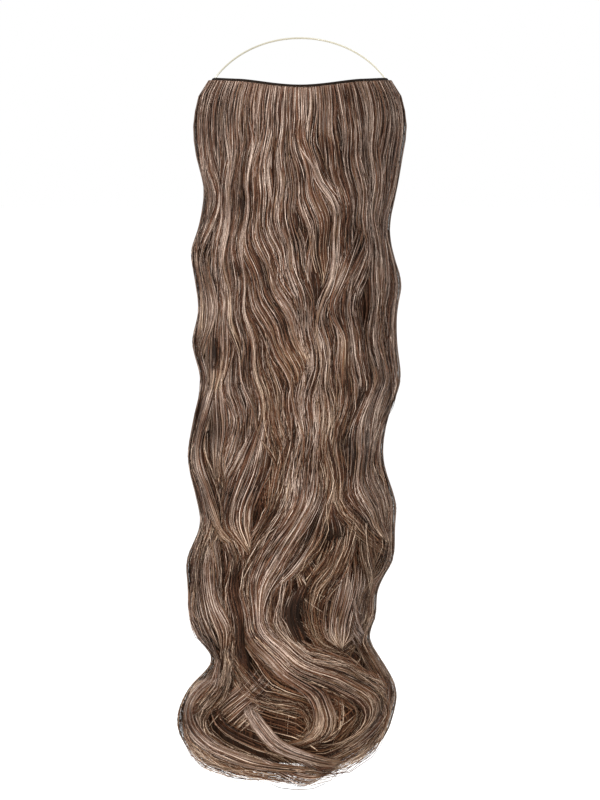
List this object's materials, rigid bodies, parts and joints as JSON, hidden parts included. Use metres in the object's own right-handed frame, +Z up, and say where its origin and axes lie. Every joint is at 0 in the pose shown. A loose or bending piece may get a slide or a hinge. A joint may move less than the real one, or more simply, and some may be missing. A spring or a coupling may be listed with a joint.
{
  "type": "halo hair extension",
  "caption": "Wavy brown hair extension sewn in rows to a curved weft band, with a clear wire that goes over the forehead to hold it on the head.",
  "frame": {"origin": "middle of the ring that the band and the wire make round the head, level with the band's top edge at the back of the head", "axes": "+Z up the standing head, +Y towards the face, +X to the wearer's right; the hair hangs down -Z on the -Y side"},
  "size_m": [0.1884, 0.2069, 0.6317],
  "materials": {
    "hair": "brown hair with fine ash-blonde strands, soft gloss along the strands",
    "weft": "dark brown sewn strip with rows of stitches",
    "wire": "clear cream nylon, smooth",
    "crimp": "small dull crimped tube"
  },
  "bodies": {
    "root": {"hair_outer_row": "hair", "hair_under_row": "hair", "weft_band": "weft", "halo_wire": "wire", "wire_anchor_left": "crimp", "wire_anchor_right": "crimp"}
  },
  "joints": []
}
